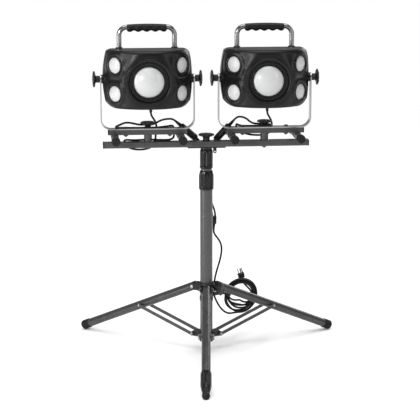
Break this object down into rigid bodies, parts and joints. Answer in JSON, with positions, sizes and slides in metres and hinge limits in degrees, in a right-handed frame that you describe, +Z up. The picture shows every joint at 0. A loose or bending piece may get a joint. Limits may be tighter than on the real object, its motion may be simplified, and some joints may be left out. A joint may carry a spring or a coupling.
{
  "type": "work light",
  "caption": "Twin-head LED work light on a telescoping tripod mast, with tilting lamp heads, carry handles, a crossbar and a coiled power cord.",
  "frame": {"origin": "on the floor, on the axis of the mast", "axes": "+Z up along the mast, +X along the crossbar, and the lamps shine towards -Y"},
  "size_m": [0.7424, 0.6883, 0.9175],
  "materials": {
    "lamp_plastic": "moulded black plastic, satin gloss",
    "frosted_lens": "frosted diffuser",
    "led_board": "solder mask",
    "bright_steel": "bright plated steel",
    "silver_steel": "zinc plated strip",
    "grip_rubber": "soft black grip",
    "cap_rubber": "matt black",
    "cord_pvc": "black cable sheath",
    "plug_pvc": "moulded black",
    "dark_paint": "dark grey powder coat",
    "knob_plastic": "moulded black"
  },
  "bodies": {
    "mast": {"mast_tube": "dark_paint", "brace_ring": "knob_plastic", "power_cord": "cord_pvc", "power_cord_coil": "cord_pvc", "power_plug": "plug_pvc"},
    "hub": {"leg_hub": "knob_plastic"},
    "hub_knob": {"hub_knob": "knob_plastic"},
    "front_leg": {"front_leg_tube": "dark_paint"},
    "right_leg": {"right_leg_tube": "dark_paint", "right_foot": "cap_rubber"},
    "left_leg": {"left_leg_tube": "dark_paint", "left_foot": "cap_rubber"},
    "front_leg_lock": {"front_leg_lock": "knob_plastic"},
    "front_extension": {"front_foot": "cap_rubber"},
    "front_brace": {"front_brace": "dark_paint"},
    "right_brace": {"right_brace": "dark_paint"},
    "left_brace": {"left_brace": "dark_paint"},
    "lower_lock": {"lower_lock_collar": "knob_plastic"},
    "middle": {"middle_tube": "dark_paint", "cord_splitter": "plug_pvc", "branch_cords": "cord_pvc"},
    "upper_lock": {"upper_lock_collar": "knob_plastic"},
    "inner": {"inner_tube": "dark_paint", "mast_head": "knob_plastic"},
    "crossbar": {"crossbar": "dark_paint", "crossbar_end_caps": "cap_rubber", "left_cord_loop": "cord_pvc"},
    "centre_knob": {"centre_knob": "knob_plastic"},
    "left_stand": {"left_stand_frame": "dark_paint", "left_stand_feet": "cap_rubber", "left_u_bracket": "silver_steel", "left_lamp_cord": "cord_pvc", "left_connector": "plug_pvc"},
    "left_clamp_knob": {"left_clamp_knob": "knob_plastic"},
    "left_head": {"left_rear_housing": "lamp_plastic", "left_front_shell": "lamp_plastic", "left_lens_bezels": "lamp_plastic", "left_lenses": "frosted_lens", "left_led_electronics": "led_board", "left_handle_tube": "bright_steel", "left_handle_grip": "grip_rubber"},
    "left_outer_knob": {"left_lamp_outer_knob": "knob_plastic"},
    "left_inner_knob": {"left_lamp_inner_knob": "knob_plastic"},
    "left_rocker": {"left_switch_rocker": "knob_plastic"},
    "right_stand": {"right_stand_frame": "dark_paint", "right_stand_feet": "cap_rubber", "right_u_bracket": "silver_steel", "right_lamp_cord": "cord_pvc", "right_connector": "plug_pvc"},
    "right_clamp_knob": {"right_clamp_knob": "knob_plastic"},
    "right_head": {"right_rear_housing": "lamp_plastic", "right_front_shell": "lamp_plastic", "right_lens_bezels": "lamp_plastic", "right_lenses": "frosted_lens", "right_led_electronics": "led_board", "right_handle_tube": "bright_steel", "right_handle_grip": "grip_rubber"},
    "right_outer_knob": {"right_lamp_outer_knob": "knob_plastic"},
    "right_inner_knob": {"right_lamp_inner_knob": "knob_plastic"},
    "right_rocker": {"right_switch_rocker": "knob_plastic"}
  },
  "joints": [
    {"name": "hub_slide", "type": "slide", "parent": "mast", "child": "hub", "axis": [0, 0, 1], "range_m": [0, 0.24]},
    {"name": "hub_knob_turn", "type": "hinge", "parent": "hub", "child": "hub_knob", "pos_m": [0.03256, -0.02323, 0.183], "axis": [0.8141, -0.5807, 0], "range_deg": [-180, 0]},
    {"name": "front_leg_fold", "type": "hinge", "parent": "hub", "child": "front_leg", "pos_m": [-0.00355, -0.03683, 0.183], "axis": [0.9954, -0.0958, 0], "range_deg": [-0.5, 61.62]},
    {"name": "front_brace_fold", "type": "hinge", "parent": "mast", "child": "front_brace", "pos_m": [-0.00355, -0.03683, 0.046], "axis": [0.9954, -0.0958, 0], "range_deg": [-67.43, 0.5]},
    {"name": "right_leg_fold", "type": "hinge", "parent": "hub", "child": "right_leg", "pos_m": [0.03367, 0.01534, 0.183], "axis": [-0.4147, 0.91, 0], "range_deg": [-0.5, 61.62]},
    {"name": "right_brace_fold", "type": "hinge", "parent": "mast", "child": "right_brace", "pos_m": [0.03367, 0.01534, 0.046], "axis": [-0.4147, 0.91, 0], "range_deg": [-67.43, 0.5]},
    {"name": "left_leg_fold", "type": "hinge", "parent": "hub", "child": "left_leg", "pos_m": [-0.03012, 0.02149, 0.183], "axis": [-0.5807, -0.8141, 0], "range_deg": [-0.5, 61.62]},
    {"name": "left_brace_fold", "type": "hinge", "parent": "mast", "child": "left_brace", "pos_m": [-0.03012, 0.02149, 0.046], "axis": [-0.5807, -0.8141, 0], "range_deg": [-67.43, 0.5]},
    {"name": "front_leg_lock_turn", "type": "hinge", "parent": "front_leg", "child": "front_leg_lock", "pos_m": [-0.03607, -0.37458, 0.03051], "axis": [-0.0874, -0.9079, -0.4099], "range_deg": [0, 120]},
    {"name": "front_leg_extend", "type": "slide", "parent": "front_leg", "child": "front_extension", "axis": [-0.0874, -0.9079, -0.4099], "range_m": [0, 0.15]},
    {"name": "lower_lock_turn", "type": "hinge", "parent": "mast", "child": "lower_lock", "pos_m": [0, 0, 0.49], "axis": [0, 0, 1], "range_deg": [0, 120]},
    {"name": "middle_slide", "type": "slide", "parent": "mast", "child": "middle", "axis": [0, 0, 1], "range_m": [0, 0.37]},
    {"name": "upper_lock_turn", "type": "hinge", "parent": "middle", "child": "upper_lock", "pos_m": [0, 0, 0.55], "axis": [0, 0, 1], "range_deg": [0, 120]},
    {"name": "inner_slide", "type": "slide", "parent": "middle", "child": "inner", "axis": [0, 0, 1], "range_m": [0, 0.37]},
    {"name": "crossbar_swivel", "type": "hinge", "parent": "inner", "child": "crossbar", "pos_m": [0, 0, 0.59], "axis": [0, 0, 1], "range_deg": [-45, 45]},
    {"name": "centre_knob_turn", "type": "hinge", "parent": "crossbar", "child": "centre_knob", "pos_m": [0, 0, 0.61], "axis": [0, 0, 1], "range_deg": [-180, 0]},
    {"name": "left_lamp_swivel", "type": "hinge", "parent": "crossbar", "child": "left_stand", "pos_m": [-0.16, 0, 0.62], "axis": [0, 0, 1], "range_deg": [0, 30]},
    {"name": "left_clamp_knob_turn", "type": "hinge", "parent": "left_stand", "child": "left_clamp_knob", "pos_m": [-0.16, 0, 0.65], "axis": [0, 0, 1], "range_deg": [-180, 0]},
    {"name": "left_lamp_tilt", "type": "hinge", "parent": "left_stand", "child": "left_head", "pos_m": [-0.16, 0, 0.77], "axis": [1, 0, 0], "range_deg": [-90, 45]},
    {"name": "left_outer_knob_turn", "type": "hinge", "parent": "left_stand", "child": "left_outer_knob", "pos_m": [-0.3, 0, 0.77], "axis": [-1, 0, 0], "range_deg": [-180, 0]},
    {"name": "left_inner_knob_turn", "type": "hinge", "parent": "left_stand", "child": "left_inner_knob", "pos_m": [-0.02, 0, 0.77], "axis": [1, 0, 0], "range_deg": [-180, 0]},
    {"name": "left_switch_rock", "type": "hinge", "parent": "left_head", "child": "left_rocker", "pos_m": [-0.16, 0.043, 0.723], "axis": [1, 0, 0], "range_deg": [0, 16]},
    {"name": "right_lamp_swivel", "type": "hinge", "parent": "crossbar", "child": "right_stand", "pos_m": [0.16, 0, 0.62], "axis": [0, 0, 1], "range_deg": [-30, 0]},
    {"name": "right_clamp_knob_turn", "type": "hinge", "parent": "right_stand", "child": "right_clamp_knob", "pos_m": [0.16, 0, 0.65], "axis": [0, 0, 1], "range_deg": [-180, 0]},
    {"name": "right_lamp_tilt", "type": "hinge", "parent": "right_stand", "child": "right_head", "pos_m": [0.16, 0, 0.77], "axis": [1, 0, 0], "range_deg": [-90, 45]},
    {"name": "right_outer_knob_turn", "type": "hinge", "parent": "right_stand", "child": "right_outer_knob", "pos_m": [0.3, 0, 0.77], "axis": [1, 0, 0], "range_deg": [-180, 0]},
    {"name": "right_inner_knob_turn", "type": "hinge", "parent": "right_stand", "child": "right_inner_knob", "pos_m": [0.02, 0, 0.77], "axis": [-1, 0, 0], "range_deg": [-180, 0]},
    {"name": "right_switch_rock", "type": "hinge", "parent": "right_head", "child": "right_rocker", "pos_m": [0.16, 0.043, 0.723], "axis": [1, 0, 0], "range_deg": [0, 16]}
  ],
  "couplings": [
    {"joint": "front_leg_fold", "follows": "hub_slide", "rad_per_m": 4.445},
    {"joint": "front_brace_fold", "follows": "hub_slide", "rad_per_m": -4.8671},
    {"joint": "right_leg_fold", "follows": "hub_slide", "rad_per_m": 4.445},
    {"joint": "right_brace_fold", "follows": "hub_slide", "rad_per_m": -4.8671},
    {"joint": "left_leg_fold", "follows": "hub_slide", "rad_per_m": 4.445},
    {"joint": "left_brace_fold", "follows": "hub_slide", "rad_per_m": -4.8671}
  ]
}
